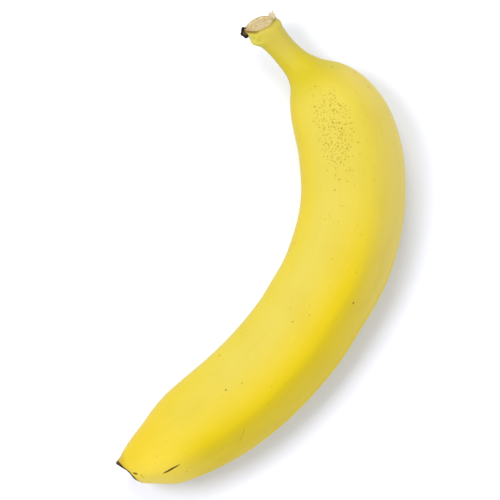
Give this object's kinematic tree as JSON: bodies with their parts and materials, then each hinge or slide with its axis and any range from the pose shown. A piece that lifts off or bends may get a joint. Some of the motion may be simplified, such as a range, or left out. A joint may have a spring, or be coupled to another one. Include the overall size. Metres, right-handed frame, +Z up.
{
  "type": "banana",
  "caption": "Ripe yellow banana as picked, lying on its side: a curved, softly ridged fruit with a torn stem cut at one end and a dried blossom scar at the other.",
  "frame": {"origin": "on the surface that the fruit lies on, under the middle of its bounding box", "axes": "+Z up from the surface, +Y along the chord from the blossom tip to the stem, +X to the outside of the bend"},
  "size_m": [0.0791, 0.1806, 0.0371],
  "materials": {
    "peel": "satin"
  },
  "bodies": {
    "root": {"banana": "peel"}
  },
  "joints": []
}
